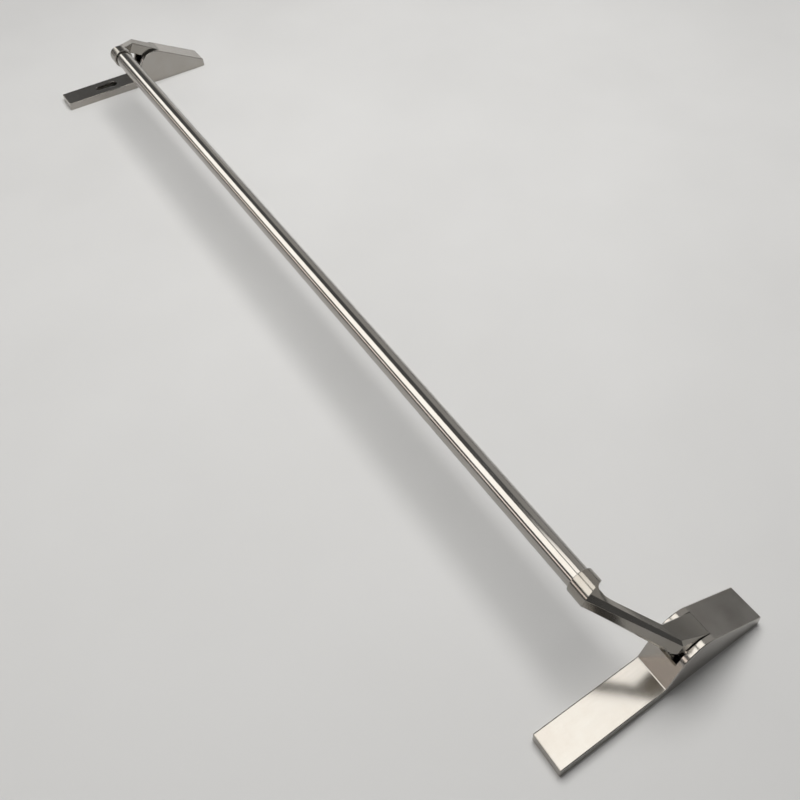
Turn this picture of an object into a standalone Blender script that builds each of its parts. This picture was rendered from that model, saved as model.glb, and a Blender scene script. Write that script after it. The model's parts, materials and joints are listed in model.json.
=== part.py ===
"""Panic exit bar: two end units on a door leaf, joined by a push tube on two cranked arms.

World frame: +X runs along the bar from the lock unit to the hinge unit, +Y is up the door and
+Z points away from the door. The door face is z = 0, the origin is midway between the units.
Each unit is built in its own frame: u points inboard, y and z are the world's.
"""

import bmesh
import bpy
from math import acos, atan2, cos, pi, radians, sin, tan
from mathutils import Matrix, Vector

MM = 0.001
X_AXIS = Vector((1, 0, 0))
Z_AXIS = Vector((0, 0, 1))

# Overall sizes
VISIBLE_TUBE = 1000 * MM
COVER_WIDTH = 34 * MM
TRAY_LENGTH = 111 * MM
WEDGE_LENGTH = 111 * MM
TRAY_HEIGHT = 11 * MM
WEDGE_END_HEIGHT = 11.5 * MM
HUMP_RADIUS = 24 * MM
FRONT_ANGLE = radians(65)
SLOPE_ANGLE = radians(29)

# Fits
GAP = 0.3 * MM
SIDE_PLAY = 0.75 * MM
CHEEK_PLAY = 0.35 * MM
CUT_THROUGH = 2 * MM
SINK = 0.5 * MM

# Sides of round pieces
COLLAR_SIDES = 44
TUBE_SIDES = 40
BOSS_SIDES = 32
PIN_SIDES = 28
PLUNGER_SIDES = 24
FIXING_SIDES = 20
COVER_SCREW_SIDES = 18
SCREW_SIDES = 16
SMALL_SIDES = 14

# Cover shell
COVER_WALL = 1.6 * MM
COVER_EDGE = 1.1 * MM
CORNER_ANGLE = radians(25)
RIM_HEIGHT = 0.1 * MM
SLOT_SILL = 32.6 * MM
SLOT_INNER = 0.6
SLOT_OUTER = 1.4
SLOT_SEAM_SHIFT = 0.05 * MM
PIN_ROOM = 1.6 * MM
CLIP_WIDTH = 3.2 * MM
CLIP_HEIGHT = 1.6 * MM
CLIP_SPACING = 14 * MM
CLIP_LIFT = 0.1 * MM

# Lock cylinder cut-out (European profile)
CYLINDER_RADIUS = 8.5 * MM
CYLINDER_LEG = 5 * MM
CYLINDER_HEIGHT = 33 * MM
CYLINDER_TO_SPINDLE = 72 * MM

# Base plate
PLATE_THICKNESS = 2 * MM
FIXING_RADIUS = 2.6 * MM
FIXING_MARGIN = 12 * MM
TAB_HEIGHT = 9.5 * MM
TAB_WIDTH = 10 * MM
COVER_SCREW_HEIGHT = 5.5 * MM
COVER_SCREW_RADIUS = 1.5 * MM
COVER_SCREW_LENGTH = 8 * MM
COVER_SCREW_RECESS = 0.1 * MM
COVER_SOCKET_DEPTH = 0.7 * MM
COVER_SOCKET_FLOOR = 0.8 * MM
COVER_SOCKET_RADIUS = 1.1 * MM
COUNTERSINK_RIM = 0.5 * MM
COUNTERSINK_CONE = 0.4 * MM

# Pivot
PIN_RADIUS = 4 * MM
CHEEK_THICKNESS = 2.3 * MM
CHEEK_RADIUS = 9.5 * MM
CHEEK_ARC = radians(20)
WASHER_THICKNESS = 0.8 * MM
WASHER_RADIUS = 8.3 * MM
HUB_RADIUS = 12 * MM
SECTOR_PLAY = 0.4 * MM
PIN_HEAD = 1 * MM
PIN_HEAD_RADIUS = 6 * MM
PIN_CHAMFER = 0.3 * MM
PIN_TAIL_PLAY = 0.1 * MM
GROOVE_DEPTH = 0.9 * MM
CLIP_RING_THICKNESS = 0.6 * MM
CLIP_RING_WIDTH = 2 * MM
CLIP_RING_OPENING = radians(40)
WEB_THICKNESS = 2.5 * MM
WEB_LENGTH = 11 * MM
WEB_INSET = 0.2 * MM
WEB_LIFT = 0.01 * MM

# Travel
PRESS_ANGLE = radians(30)

# Arm
HEAD_DEPTH = 16 * MM
HEAD_RISE = radians(32)
HEAD_END_LEAN = radians(27.3)
CREASE_REACH = 41.5 * MM
CREASE_SKEW = 6.5 * MM
COLLAR_Y = -26 * MM
COLLAR_Z = 84.2 * MM
COLLAR_WALL = 1.9 * MM
COLLAR_RIM = 71 * MM
ELBOW_REACH = 56 * MM
FRONT_CHAMFER = 3.4 * MM
EDGE_CHAMFER = 1.4 * MM
HUB_STEPS = 14
SECTOR_STEPS = 6
COLLAR_EDGE = 0.8 * MM
COLLAR_BACK = 16 * MM
SHANK_INSET = 0.3 * MM
SHANK_OVERLAP = 2.5 * MM
SHANK_STATIONS = (0.5, 0.7, 0.85, 1.0)
FLARE_START = 0.5
ROOT_SHARE = 0.7
FINGER_ROOT_SHARE = 0.85
# Where the shank's eight edges meet the collar: degrees about the tube's axis from +z towards +y
ELBOW_ANGLES = (-28, 44, 66, 104, 140, 232, 254, -58)

# Push tube
TUBE_RADIUS = 11 * MM
TUBE_WALL = 1.5 * MM
TUBE_INSERT = 8.2 * MM
PLUG_LENGTH = 18 * MM
PLUG_CHAMFER = 0.6 * MM
ARM_SCREW_RADIUS = 2.5 * MM
ARM_SCREW_LENGTH = 6.5 * MM
ARM_SCREW_CHAMFER = 0.3 * MM
ARM_SCREW_RECESS = 0.3 * MM
ARM_SOCKET_DEPTH = 2 * MM
ARM_SOCKET_RADIUS = 1.2 * MM

# Return spring and its plunger
TOE_LENGTH = 4 * MM
TOE_RADIUS = 2.5 * MM
TOE_HALF = 3.5 * MM
PLUNGER_RADIUS = 4.6 * MM
PLUNGER_HEAD = 3 * MM
PLUNGER_WALL = 0.55 * MM
PLUNGER_CHAMFER = 0.6 * MM
GUIDE_RADIUS = 2.1 * MM
SPRING_RADIUS = 4.5 * MM
SPRING_WIRE = 1.2 * MM
SPRING_TURNS = 5.5
SPRING_STEPS = 14

# Stop buffer
BUFFER_RADIUS = 3.5 * MM
BUFFER_HEIGHT = 5 * MM
BUFFER_EDGE = 0.8 * MM
BUFFER_MARGIN = 1.5 * MM
BUFFER_STEM = 1.8 * MM
BUFFER_STEM_LENGTH = 4 * MM
TOWER_WIDTH = 9 * MM
TOWER_LENGTH = 8 * MM

# Spindle follower (lock unit only)
FINGER_LENGTH = 2 * MM
FINGER_INSET = 2.55 * MM
FINGER_BALL = 2.3 * MM
FINGER_NECK = 1.7 * MM
SPINDLE_SQUARE = 9 * MM
FOLLOWER_BOSS = 8.5 * MM
FOLLOWER_FLANGE = 10.4 * MM
FORK_DROP = 0.8 * MM
FORK_ROOT_SHARE = 0.62
FORK_SLOT_SINK = 0.1 * MM
FORK_THICKNESS = 4 * MM
FORK_HALF_ANGLE = radians(48)
FORK_PLAY = 0.35 * MM
BOSS_RISE = 0.05 * MM
SOCKET_ROOF = 1 * MM
KEEPER_THICKNESS = 1.8 * MM

# Bracket screws
SCREW_RADIUS = 1.9 * MM
SCREW_HEAD_RADIUS = 2.4 * MM
SCREW_HEAD = 1.8 * MM
SCREW_EDGE = 0.5 * MM
SCREW_SOCKET_DEPTH = 1 * MM
SCREW_SOCKET_RADIUS = 1.1 * MM
SCREW_INSET = 3.1 * MM

# Places worked out from the sizes above
END_Y = WEDGE_LENGTH
FRONT_NORMAL = Vector((0, -sin(FRONT_ANGLE), cos(FRONT_ANGLE)))
SLOPE_NORMAL = Vector((0, sin(SLOPE_ANGLE), cos(SLOPE_ANGLE)))


def hump_centre():
    """Centre of the circle that touches the front face line and the slope line from inside."""
    front = Vector((0, 0, TRAY_HEIGHT)).dot(FRONT_NORMAL) - HUMP_RADIUS
    slope = Vector((0, END_Y, WEDGE_END_HEIGHT)).dot(SLOPE_NORMAL) - HUMP_RADIUS
    det = FRONT_NORMAL.y * SLOPE_NORMAL.z - FRONT_NORMAL.z * SLOPE_NORMAL.y
    y = (front * SLOPE_NORMAL.z - FRONT_NORMAL.z * slope) / det
    z = (FRONT_NORMAL.y * slope - front * SLOPE_NORMAL.y) / det
    return Vector((0, y, z))


PIVOT = hump_centre()
UNIT_X = VISIBLE_TUBE / 2 + COLLAR_RIM
SLOT_WIDTH = COVER_WIDTH - 2 * (COVER_WALL + CHEEK_THICKNESS + PIN_ROOM)
HEAD_HALF = SLOT_WIDTH / 2 - SIDE_PLAY
SECTOR_RADIUS = HUMP_RADIUS - COVER_WALL - SECTOR_PLAY
CHEEK_IN = HEAD_HALF + CHEEK_PLAY
CHEEK_OUT = CHEEK_IN + CHEEK_THICKNESS
WASHER_OUT = CHEEK_IN - GAP
HUB_HALF = WASHER_OUT - WASHER_THICKNESS - GAP
COVER_IN = COVER_WIDTH / 2 - COVER_WALL
PIN_END = COVER_IN - GAP
PLATE_HALF = COVER_IN - GAP
WEB_Z = PLATE_THICKNESS + GAP
WEB_TOP = WEB_Z + WEB_THICKNESS
SEAM_ANGLE = pi / 2 - SLOPE_ANGLE
HALF_PRESS = PRESS_ANGLE / 2
TOE_ANGLE = pi - HALF_PRESS
TOE_REACH = HUB_RADIUS + TOE_LENGTH
TOE_TRAVEL = 2 * TOE_REACH * sin(HALF_PRESS)
FRONT_WEB_Y = PIVOT.y - HUB_RADIUS - GAP - PLUNGER_RADIUS
REAR_WEB_Y = PIVOT.y + HUB_RADIUS + BUFFER_RADIUS + BUFFER_MARGIN
COLLAR_RADIUS = TUBE_RADIUS + GAP + COLLAR_WALL
CYLINDER_Y = PIVOT.y - CYLINDER_TO_SPINDLE
SCREW_OFFSET = CHEEK_IN - SCREW_INSET
FINGER_REACH = HUB_RADIUS + FINGER_LENGTH
FINGER_OFFSET = HEAD_HALF - FINGER_INSET
FOLLOWER_FORK = CHEEK_IN - GAP
FORK_TOP = PIVOT.z - HUB_RADIUS - FORK_DROP
FORK_BOTTOM = FORK_TOP - FORK_THICKNESS
FOLLOWER_REST = -atan2(FINGER_REACH * sin(HALF_PRESS), FINGER_OFFSET)
ELBOW = Vector((ELBOW_REACH, COLLAR_Y, COLLAR_Z))

# Colours of the pieces: colour, roughness, metallic
STEEL = ((0.56, 0.54, 0.50), 0.32, 1.0)
BRIGHT = ((0.62, 0.60, 0.57), 0.18, 1.0)
ZINC = ((0.50, 0.50, 0.48), 0.45, 1.0)
SPRING_STEEL = ((0.20, 0.20, 0.21), 0.35, 1.0)
BRONZE = ((0.55, 0.38, 0.18), 0.40, 1.0)
RUBBER = ((0.02, 0.02, 0.02), 0.80, 0.0)


# ---------------------------------------------------------------- helpers

def clear_scene():
    for obj in list(bpy.data.objects):
        bpy.data.objects.remove(obj, do_unlink=True)


def material(name, look):
    colour, roughness, metallic = look
    mat = bpy.data.materials.new(name)
    mat.use_nodes = True
    shader = mat.node_tree.nodes["Principled BSDF"]
    shader.inputs["Base Color"].default_value = (*colour, 1)
    shader.inputs["Roughness"].default_value = roughness
    shader.inputs["Metallic"].default_value = metallic
    return mat


def arc(centre_y, centre_z, radius, start, end, steps):
    """Points (y, z) on an arc, ends included. Angles run from +y towards +z."""
    points = []
    for i in range(steps + 1):
        angle = start + (end - start) * i / steps
        points.append((centre_y + radius * cos(angle), centre_z + radius * sin(angle)))
    return points


def polar(angle, radius):
    """Point in the pivot's y-z plane."""
    return Vector((0, PIVOT.y + radius * cos(angle), PIVOT.z + radius * sin(angle)))


def close_solid(bm):
    bmesh.ops.remove_doubles(bm, verts=bm.verts[:], dist=1e-7)
    bmesh.ops.recalc_face_normals(bm, faces=bm.faces[:])


def prism(outline, axis, low, high):
    """Solid from a closed 2D outline, extruded along X, Y or Z from low to high."""
    place = {
        "X": lambda a, b: (low, a, b),
        "Y": lambda a, b: (a, low, b),
        "Z": lambda a, b: (a, b, low),
    }[axis]
    along = {"X": (1, 0, 0), "Y": (0, 1, 0), "Z": (0, 0, 1)}[axis]
    bm = bmesh.new()
    face = bm.faces.new([bm.verts.new(place(a, b)) for a, b in outline])
    moved = bmesh.ops.extrude_face_region(bm, geom=[face])
    verts = [v for v in moved["geom"] if isinstance(v, bmesh.types.BMVert)]
    bmesh.ops.translate(bm, vec=Vector(along) * (high - low), verts=verts)
    close_solid(bm)
    return bm


def block(low, high):
    """Box between two corners."""
    outline = [(low[0], low[1]), (high[0], low[1]), (high[0], high[1]), (low[0], high[1])]
    return prism(outline, "Z", low[2], high[2])


def turned(profile, steps, closed=False):
    """Solid of revolution about Z from a (radius, height) profile, listed downwards."""
    bm = bmesh.new()
    half_step = pi / steps
    verts = [bm.verts.new((r * cos(half_step), r * sin(half_step), h)) for r, h in profile]
    ends = verts[1:] + verts[:1] if closed else verts[1:]
    edges = [bm.edges.new(pair) for pair in zip(verts, ends)]
    bmesh.ops.spin(
        bm, geom=verts + edges, axis=Z_AXIS, cent=(0, 0, 0), angle=2 * pi, steps=steps,
        use_merge=True, use_duplicate=False,
    )
    close_solid(bm)
    return bm


def aim(bm, direction, point):
    """Turns a solid made about +Z to the given direction and moves its origin to point."""
    turn = Vector(direction).to_track_quat("Z", "Y").to_matrix().to_4x4()
    bmesh.ops.transform(bm, matrix=Matrix.Translation(point) @ turn, verts=bm.verts[:])
    return bm


def rod(start, end, radius, steps):
    """Plain cylinder between two points."""
    start = Vector(start)
    span = Vector(end) - start
    length = span.length
    profile = [(0, length), (radius, length), (radius, 0), (0, 0)]
    return aim(turned(profile, steps), span, start)


def ring(inner, outer, low, high, steps):
    """Washer shape about Z."""
    return turned([(inner, high), (outer, high), (outer, low), (inner, low)], steps, True)


class Unit:
    """One end unit: places solids made in the unit's own frame (u inboard, y, z)."""

    def __init__(self, name, side):
        self.name = name
        self.side = side
        self.matrix = Matrix.Translation((-side * UNIT_X, 0, 0)) @ Matrix.Diagonal((side, 1, 1, 1))
        self.pivot = self.matrix @ PIVOT

    def place(self, bm):
        bmesh.ops.transform(bm, matrix=self.matrix, verts=bm.verts[:])
        if self.side < 0:
            bmesh.ops.reverse_faces(bm, faces=bm.faces[:])
        return bm


def mesh_object(name, bm, origin):
    bmesh.ops.translate(bm, vec=-origin, verts=bm.verts[:])
    mesh = bpy.data.meshes.new(name)
    bm.to_mesh(mesh)
    bm.free()
    obj = bpy.data.objects.new(name, mesh)
    obj.location = origin
    bpy.context.scene.collection.objects.link(obj)
    return obj


def node(name, bm, look, origin=Vector((0, 0, 0)), joint=None, sharp=radians(35)):
    """A finished piece. Its origin sits on its joint, and a joint empty carries it."""
    obj = mesh_object(name, bm, origin)
    obj.data.materials.append(material(name + "_material", look))
    obj.data.shade_smooth()
    obj.data.set_sharp_from_angle(angle=sharp)
    if joint is not None:
        obj.parent = joint
        obj.location = origin - joint.location
    return obj


def helper(name, bm):
    obj = mesh_object(name, bm, Vector((0, 0, 0)))
    obj.hide_render = True
    obj.display_type = "WIRE"
    return obj


def combine(obj, operation, tool):
    modifier = obj.modifiers.new(tool.name, "BOOLEAN")
    modifier.operation = operation
    modifier.solver = "EXACT"
    modifier.object = tool


def cut(obj, unit, label, bm):
    solid = unit.place(bm) if unit else bm
    combine(obj, "DIFFERENCE", helper(f"{obj.name}_{label}", solid))


def join(obj, unit, label, bm):
    solid = unit.place(bm) if unit else bm
    combine(obj, "UNION", helper(f"{obj.name}_{label}", solid))


def joint_empty(name, location):
    empty = bpy.data.objects.new(name, None)
    empty.location = location
    bpy.context.scene.collection.objects.link(empty)
    return empty


# ---------------------------------------------------------------- cover

def cover_outline(inset):
    """Side profile of the cover, moved inwards by inset, from the tray end over to the wedge end."""
    floor = 0 if inset == 0 else -CUT_THROUGH
    radius = HUMP_RADIUS - inset
    front = FRONT_ANGLE + pi / 2
    tray_top = TRAY_HEIGHT - inset
    front_rise = PIVOT.z + radius * sin(front) - tray_top
    foot_y = PIVOT.y + radius * cos(front) - front_rise / tan(FRONT_ANGLE)
    end_y = END_Y - inset
    seam_y = PIVOT.y + radius * cos(SEAM_ANGLE)
    end_top = PIVOT.z + radius * sin(SEAM_ANGLE) - (end_y - seam_y) * tan(SLOPE_ANGLE)
    points = [(-TRAY_LENGTH + inset, floor), (-TRAY_LENGTH + inset, tray_top), (foot_y, tray_top)]
    points += arc(PIVOT.y, PIVOT.z, radius, front, SEAM_ANGLE, 10)
    points += [(end_y, end_top), (end_y, floor)]
    return points


def round_cover_edges(bm):
    """Rounds every outer edge except the rim on the door and the inside corner at the front face."""
    picked = []
    for edge in bm.edges:
        heights = [v.co.z for v in edge.verts]
        if max(heights) < RIM_HEIGHT:
            continue
        if edge.calc_face_angle() < CORNER_ANGLE:
            continue
        if edge.is_convex:
            picked.append(edge)
    bmesh.ops.bevel(
        bm, geom=picked, offset=COVER_EDGE, offset_type="OFFSET", segments=2, profile=0.5,
        affect="EDGES", clamp_overlap=True,
    )


def slot_cutter():
    """Opening for the arm's head: from the sill on the front face over the hump to just past the seam."""
    rear = SEAM_ANGLE - SLOT_SEAM_SHIFT / HUMP_RADIUS
    seam_in = polar(rear, SLOT_INNER * HUMP_RADIUS).yz
    seam_out = polar(rear, SLOT_OUTER * HUMP_RADIUS).yz
    inner_y = PIVOT.y - SLOT_INNER * HUMP_RADIUS
    outline = [
        (-HUMP_RADIUS, SLOT_SILL),
        (inner_y, SLOT_SILL),
        seam_in,
        seam_out,
        (-HUMP_RADIUS, seam_out[1]),
    ]
    return prism(outline, "X", -SLOT_WIDTH / 2, SLOT_WIDTH / 2)


def cylinder_cutter(play):
    """European profile opening through the tray: round head towards the wedge, narrow leg below."""
    round_radius = CYLINDER_RADIUS + play
    leg = CYLINDER_LEG + play
    leg_y = CYLINDER_Y + CYLINDER_RADIUS - CYLINDER_HEIGHT + CYLINDER_LEG
    meet = acos(leg / round_radius)
    # u runs across the unit here, y along it
    outline = [(leg, leg_y)]
    outline += [(u, CYLINDER_Y + y) for u, y in arc(0, 0, round_radius, -meet, pi + meet, 20)]
    outline += [(-leg, leg_y)]
    outline += [(u, leg_y + y) for u, y in arc(0, 0, leg, pi, 2 * pi, 8)][1:-1]
    return prism(outline, "Z", -TRAY_HEIGHT, 2 * TRAY_HEIGHT)


def clip_block(u, play, low):
    """Block of one clip at the tray end, at cross position u."""
    half = CLIP_WIDTH / 2 + play
    return block(
        (u - half, -TRAY_LENGTH - play, low),
        (u + half, -TRAY_LENGTH + 3 * COVER_WALL, CLIP_HEIGHT + play),
    )


def cover(unit, has_cylinder):
    bm = prism(cover_outline(0), "X", -COVER_WIDTH / 2, COVER_WIDTH / 2)
    round_cover_edges(bm)
    obj = node(f"{unit.name}_cover", unit.place(bm), STEEL)
    cut(obj, unit, "hollow", prism(cover_outline(COVER_WALL), "X", -COVER_IN, COVER_IN))
    cut(obj, unit, "slot", slot_cutter())
    if has_cylinder:
        cut(obj, unit, "cylinder", cylinder_cutter(0))
    screw_hole = rod(
        (0, END_Y - 3 * COVER_WALL, COVER_SCREW_HEIGHT), (0, END_Y + COVER_WALL, COVER_SCREW_HEIGHT),
        2 * COVER_SCREW_RADIUS + GAP, FIXING_SIDES,
    )
    cut(obj, unit, "screw_hole", screw_hole)
    for label, u in (("clip_a", -CLIP_SPACING / 2), ("clip_b", CLIP_SPACING / 2)):
        cut(obj, unit, label, clip_block(u, GAP, -CUT_THROUGH))
    return obj


def cover_screw(unit):
    """Countersunk screw through the wedge end into the base plate's tab."""
    head_radius = 2 * COVER_SCREW_RADIUS
    cone_end = -COVER_WALL - COUNTERSINK_CONE
    profile = [
        (0, -COVER_SOCKET_DEPTH), (COVER_SOCKET_FLOOR, -COVER_SOCKET_DEPTH), (COVER_SOCKET_RADIUS, 0),
        (head_radius, 0), (head_radius, -COUNTERSINK_RIM), (COVER_SCREW_RADIUS, cone_end),
        (COVER_SCREW_RADIUS, -COVER_SCREW_LENGTH), (0, -COVER_SCREW_LENGTH),
    ]
    place = (0, END_Y - COVER_SCREW_RECESS, COVER_SCREW_HEIGHT)
    bm = aim(turned(profile, COVER_SCREW_SIDES), (0, 1, 0), place)
    return node(f"{unit.name}_cover_screw", unit.place(bm), BRIGHT)


# ---------------------------------------------------------------- base plate and bracket

def screw_places():
    return [(u, y) for y in (FRONT_WEB_Y, REAR_WEB_Y) for u in (-SCREW_OFFSET, SCREW_OFFSET)]


def fixing_places():
    """Door screws: near both ends, beyond the cylinder cut-out and beyond the bracket."""
    cut_out_end = CYLINDER_Y + CYLINDER_RADIUS - CYLINDER_HEIGHT
    bracket_end = REAR_WEB_Y + WEB_LENGTH / 2
    return (
        -TRAY_LENGTH + FIXING_MARGIN,
        cut_out_end - FIXING_MARGIN,
        bracket_end + FIXING_MARGIN,
        END_Y - FIXING_MARGIN,
    )


def plate_drill(u, y, radius, sides):
    """Cutter for a round hole through the base plate."""
    return rod((u, y, -PLATE_THICKNESS), (u, y, 2 * PLATE_THICKNESS), radius, sides)


def base_plate(unit, is_lock):
    low = -TRAY_LENGTH + COVER_WALL + GAP
    high = END_Y - COVER_WALL - GAP
    bm = block((-PLATE_HALF, low, 0), (PLATE_HALF, high, PLATE_THICKNESS))
    obj = node(f"{unit.name}_base_plate", unit.place(bm), ZINC)
    if is_lock:
        cut(obj, unit, "cylinder", cylinder_cutter(GAP))
        radius = FOLLOWER_BOSS + GAP
        cut(obj, unit, "spindle", plate_drill(0, PIVOT.y, radius, BOSS_SIDES))
    tab_y = high - 3 * COVER_WALL
    tab = block(
        (-TAB_WIDTH / 2, tab_y, PLATE_THICKNESS / 2), (TAB_WIDTH / 2, tab_y + PLATE_THICKNESS, TAB_HEIGHT),
    )
    join(obj, unit, "tab", tab)
    for label, u in (("clip_a", -CLIP_SPACING / 2), ("clip_b", CLIP_SPACING / 2)):
        clip = block(
            (u - CLIP_WIDTH / 2, -TRAY_LENGTH + GAP, CLIP_LIFT),
            (u + CLIP_WIDTH / 2, low + COVER_WALL, CLIP_HEIGHT),
        )
        join(obj, unit, label, clip)
    tab_hole = rod(
        (0, tab_y - PLATE_THICKNESS, COVER_SCREW_HEIGHT), (0, high + PLATE_THICKNESS, COVER_SCREW_HEIGHT),
        COVER_SCREW_RADIUS + GAP, SCREW_SIDES,
    )
    cut(obj, unit, "tab_hole", tab_hole)
    for i, (u, y) in enumerate(screw_places()):
        cut(obj, unit, f"screw_hole_{i}", plate_drill(u, y, SCREW_RADIUS + GAP, SCREW_SIDES))
    for i, y in enumerate(fixing_places()):
        cut(obj, unit, f"fixing_{i}", plate_drill(0, y, FIXING_RADIUS, FIXING_SIDES))
    return obj


def cheek(low, high):
    foot = WEB_LENGTH / 2
    shoulder = WEB_TOP + foot / 2
    outline = [(FRONT_WEB_Y - foot, WEB_Z), (REAR_WEB_Y + foot, WEB_Z), (REAR_WEB_Y + foot, shoulder)]
    outline += arc(PIVOT.y, PIVOT.z, CHEEK_RADIUS, CHEEK_ARC, pi - CHEEK_ARC, 10)
    outline += [(FRONT_WEB_Y - foot, shoulder)]
    return prism(outline, "X", low, high)


def web(centre_y):
    overlap = CHEEK_THICKNESS / 2
    return block(
        (-CHEEK_IN - overlap, centre_y - WEB_LENGTH / 2 + WEB_INSET, WEB_Z + WEB_LIFT),
        (CHEEK_IN + overlap, centre_y + WEB_LENGTH / 2 - WEB_INSET, WEB_TOP),
    )


def pivot_bracket(unit):
    """Two cheeks that carry the pin, two cross webs, the spring's guide post and the buffer's tower."""
    obj = node(f"{unit.name}_pivot_bracket", unit.place(cheek(CHEEK_IN, CHEEK_OUT)), ZINC)
    join(obj, unit, "front_web", web(FRONT_WEB_Y))
    join(obj, unit, "rear_web", web(REAR_WEB_Y))
    join(obj, unit, "cheek", cheek(-CHEEK_OUT, -CHEEK_IN))
    buffer_bottom = PIVOT.z - GAP - BUFFER_HEIGHT
    tower = block(
        (-TOWER_WIDTH / 2, REAR_WEB_Y - TOWER_LENGTH / 2, WEB_Z + SINK),
        (TOWER_WIDTH / 2, REAR_WEB_Y + TOWER_LENGTH / 2, buffer_bottom - GAP),
    )
    join(obj, unit, "tower", tower)
    post_top = PIVOT.z - TOE_TRAVEL / 2 - TOE_RADIUS - GAP - PLUNGER_HEAD - GAP
    post = rod((0, FRONT_WEB_Y, WEB_Z + SINK), (0, FRONT_WEB_Y, post_top), GUIDE_RADIUS, SCREW_SIDES)
    join(obj, unit, "post", post)
    reach = X_AXIS * 2 * CHEEK_OUT
    cut(obj, unit, "pin_hole", rod(PIVOT - reach, PIVOT + reach, PIN_RADIUS + GAP, PIN_SIDES))
    stem_hole = rod(
        (0, REAR_WEB_Y, buffer_bottom - 2 * BUFFER_HEIGHT), (0, REAR_WEB_Y, PIVOT.z),
        BUFFER_STEM + GAP, SCREW_SIDES,
    )
    cut(obj, unit, "stem_hole", stem_hole)
    for i, (u, y) in enumerate(screw_places()):
        hole = rod((u, y, 0), (u, y, WEB_TOP + WEB_THICKNESS), SCREW_RADIUS + GAP, SCREW_SIDES)
        cut(obj, unit, f"screw_hole_{i}", hole)
    return obj


def bracket_screws(unit, is_lock):
    """Pan head screws with a round socket, two through each cross web."""
    for i, (u, y) in enumerate(screw_places()):
        seat = WEB_TOP + GAP
        if is_lock and y > PIVOT.y:
            seat += KEEPER_THICKNESS + GAP
        profile = [
            (0, SCREW_HEAD - SCREW_SOCKET_DEPTH), (SCREW_SOCKET_RADIUS, SCREW_HEAD - SCREW_SOCKET_DEPTH),
            (SCREW_SOCKET_RADIUS, SCREW_HEAD), (SCREW_HEAD_RADIUS - SCREW_EDGE, SCREW_HEAD),
            (SCREW_HEAD_RADIUS, SCREW_HEAD - SCREW_EDGE),
            (SCREW_HEAD_RADIUS, 0), (SCREW_RADIUS, 0), (SCREW_RADIUS, GAP - seat), (0, GAP - seat),
        ]
        bm = aim(turned(profile, SMALL_SIDES), Z_AXIS, (u, y, seat))
        node(f"{unit.name}_bracket_screw_{i + 1}", unit.place(bm), BRIGHT)


def pivot_pin(unit):
    """Headed pin with a groove for its retaining ring."""
    groove = PIN_RADIUS - GROOVE_DEPTH
    tail = PIN_RADIUS - PIN_TAIL_PLAY
    ring_low = CHEEK_OUT + GAP
    ring_high = ring_low + CLIP_RING_THICKNESS + GAP
    profile = [
        (0, PIN_END), (tail - PIN_CHAMFER, PIN_END), (tail, PIN_END - PIN_CHAMFER), (tail, ring_high),
        (groove, ring_high), (groove, ring_low - GAP),
        (PIN_RADIUS, ring_low - GAP), (PIN_RADIUS, -CHEEK_OUT - GAP),
        (PIN_HEAD_RADIUS, -CHEEK_OUT - GAP), (PIN_HEAD_RADIUS, -CHEEK_OUT - GAP - PIN_HEAD),
        (0, -CHEEK_OUT - GAP - PIN_HEAD),
    ]
    bm = aim(turned(profile, PIN_SIDES), X_AXIS, PIVOT)
    return node(f"{unit.name}_pivot_pin", unit.place(bm), BRIGHT)


def retaining_ring(unit):
    """Open ring in the pin's groove."""
    inner = PIN_RADIUS - GROOVE_DEPTH + GAP
    outer = PIN_RADIUS + CLIP_RING_WIDTH
    start = CLIP_RING_OPENING
    end = 2 * pi - CLIP_RING_OPENING
    outline = arc(0, 0, outer, start, end, PLUNGER_SIDES)
    outline += arc(0, 0, inner, end, start, PLUNGER_SIDES)
    low = CHEEK_OUT + GAP
    bm = prism([(y + PIVOT.y, z + PIVOT.z) for y, z in outline], "X", low, low + CLIP_RING_THICKNESS)
    return node(f"{unit.name}_retaining_ring", unit.place(bm), SPRING_STEEL)


def thrust_washers(unit):
    for label, low in (("inboard", WASHER_OUT - WASHER_THICKNESS), ("outboard", -WASHER_OUT)):
        bm = ring(PIN_RADIUS + GAP, WASHER_RADIUS, 0, WASHER_THICKNESS, PIN_SIDES)
        bm = aim(bm, X_AXIS, (low, PIVOT.y, PIVOT.z))
        node(f"{unit.name}_{label}_washer", unit.place(bm), BRONZE)


# ---------------------------------------------------------------- arm

def crease_corners():
    """The oblique fold between head and shank: top and bottom points, outboard and inboard."""
    seam = polar(SEAM_ANGLE, HUMP_RADIUS)
    rise = Vector((0, -cos(HEAD_RISE), sin(HEAD_RISE)))
    middle = seam + rise * CREASE_REACH
    skew = rise * CREASE_SKEW / 2
    top_out = middle - skew - X_AXIS * HEAD_HALF
    top_in = middle + skew + X_AXIS * HEAD_HALF
    down = Vector((0, -sin(HEAD_END_LEAN), -cos(HEAD_END_LEAN))) * HEAD_DEPTH
    return top_out, top_in, top_out + down, top_in + down


def between(a, b, distance):
    """The point that lies the given distance from a towards b."""
    return a + (b - a).normalized() * distance


def crease_ring():
    """Eight points round the crease: top, inboard side, bottom, outboard side, corners cut off."""
    top_out, top_in, low_out, low_in = crease_corners()
    return [
        between(top_out, top_in, FRONT_CHAMFER), between(top_in, top_out, EDGE_CHAMFER),
        between(top_in, low_in, EDGE_CHAMFER), between(low_in, top_in, EDGE_CHAMFER),
        between(low_in, low_out, EDGE_CHAMFER), between(low_out, low_in, FRONT_CHAMFER),
        between(low_out, top_out, FRONT_CHAMFER), between(top_out, low_out, FRONT_CHAMFER),
    ]


def mitre_normal():
    top_out, top_in, low_out, low_in = crease_corners()
    middle = (top_out + top_in + low_out + low_in) / 4
    return ((ELBOW - middle).normalized() + X_AXIS).normalized()


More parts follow.
